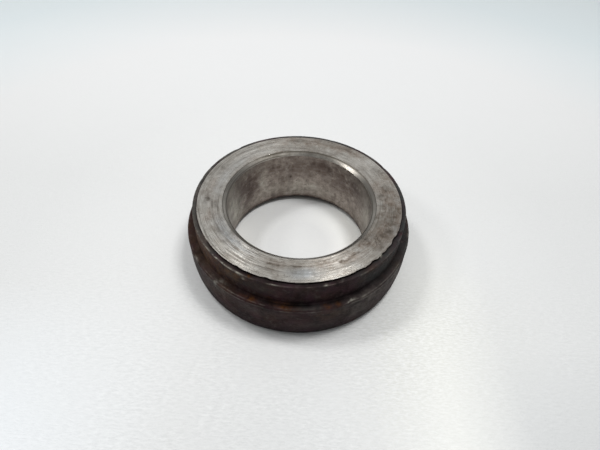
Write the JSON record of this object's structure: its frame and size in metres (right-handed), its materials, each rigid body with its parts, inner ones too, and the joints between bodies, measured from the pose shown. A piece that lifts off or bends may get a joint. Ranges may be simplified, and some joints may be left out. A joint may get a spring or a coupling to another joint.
{
  "type": "shaft collar",
  "caption": "Solid one-piece steel shaft collar: a turned ring with a spigot above a wider flange and a plain chamfered through bore.",
  "frame": {"origin": "centre of the flat bottom face of the flange, on the bore's axis", "axes": "+Z along the bore's axis, from the flange towards the spigot's machined top face"},
  "size_m": [0.071, 0.071, 0.022],
  "materials": {
    "steel": "turned bright steel on the faces and in the bore, with dark mill scale and spots of rust on the outside"
  },
  "bodies": {
    "root": {"collar_ring": "steel"}
  },
  "joints": []
}
